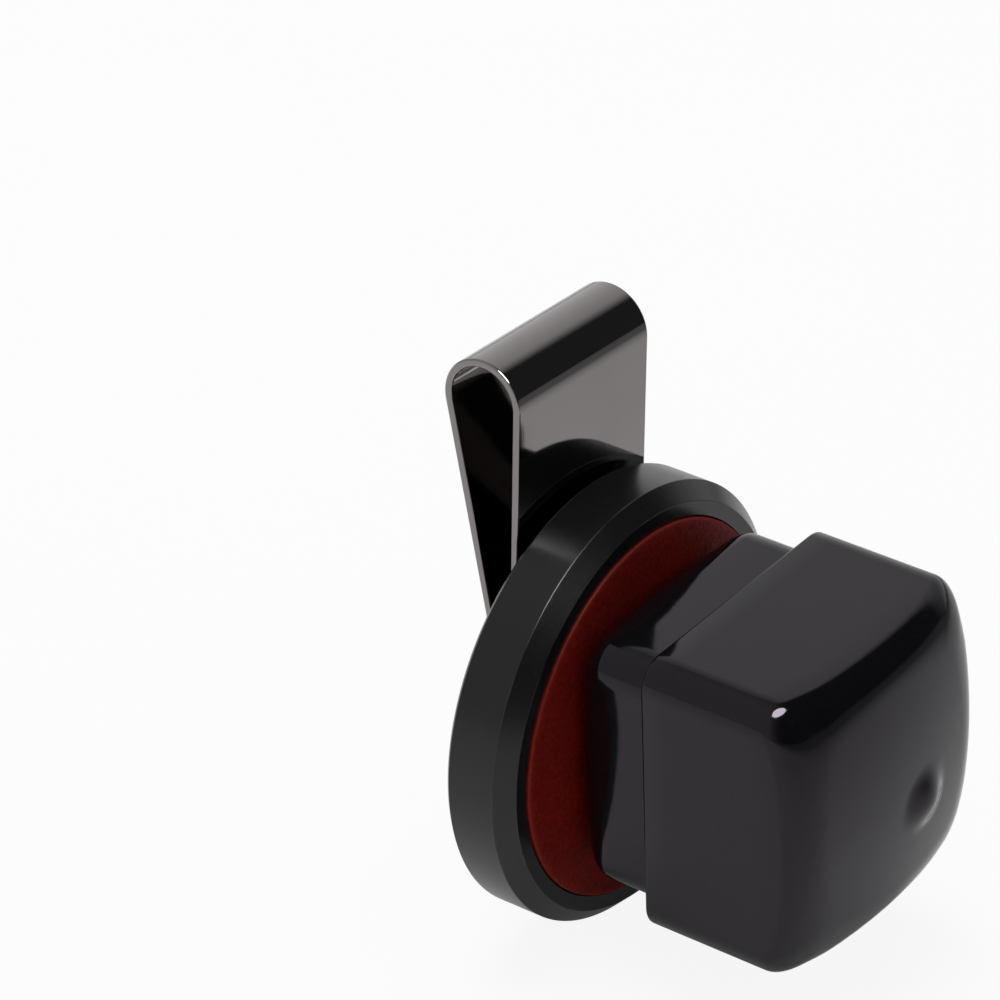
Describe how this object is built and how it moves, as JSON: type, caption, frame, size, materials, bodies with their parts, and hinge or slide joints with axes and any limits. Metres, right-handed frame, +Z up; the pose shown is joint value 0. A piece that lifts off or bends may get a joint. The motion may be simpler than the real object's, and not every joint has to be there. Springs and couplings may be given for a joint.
{
  "type": "chalk holder",
  "caption": "Magnetic chalk holder: square capped vinyl case on a round leather-faced base, with a steel spring clip for a belt or pocket hem.",
  "frame": {"origin": "on the axis of the round base, on the gripping face of the clip's front leg, where the belt or hem lies", "axes": "+Z up along the clip, -Y out from the wearer along the axis of the base and the case, +X sideways"},
  "size_m": [0.044, 0.0466, 0.0589],
  "materials": {
    "anodised_aluminium": "satin black anodised, turned",
    "magnet_nickel": "nickel plated magnet",
    "red_leather": "dyed grain leather",
    "black_nickel_steel": "polished black nickel on spring steel",
    "rivet_steel": "darkened steel",
    "black_vinyl": "glossy dip-moulded vinyl"
  },
  "bodies": {
    "base": {"base_disc": "anodised_aluminium", "base_magnet": "magnet_nickel", "leather_pad": "red_leather", "clip_front_leg": "black_nickel_steel", "rivet_lower": "rivet_steel", "rivet_upper": "rivet_steel"},
    "spring_leg": {"clip_spring_leg": "black_nickel_steel"},
    "case": {"chalk_case": "black_vinyl", "case_magnet": "magnet_nickel"},
    "cap": {"cap": "black_vinyl"}
  },
  "joints": [
    {"name": "clip_flex", "type": "hinge", "parent": "base", "child": "spring_leg", "pos_m": [0, 0.00769, 0.03163], "axis": [1, 0, 0], "range_deg": [0, 8], "stiffness_Nm_per_rad": 1, "springref_deg": -2.86},
    {"name": "case_pull_off", "type": "slide", "parent": "base", "child": "case", "axis": [0, -1, 0], "range_m": [0, 0.04]},
    {"name": "cap_pull_off", "type": "slide", "parent": "case", "child": "cap", "axis": [0, -1, 0], "range_m": [0, 0.02]}
  ]
}
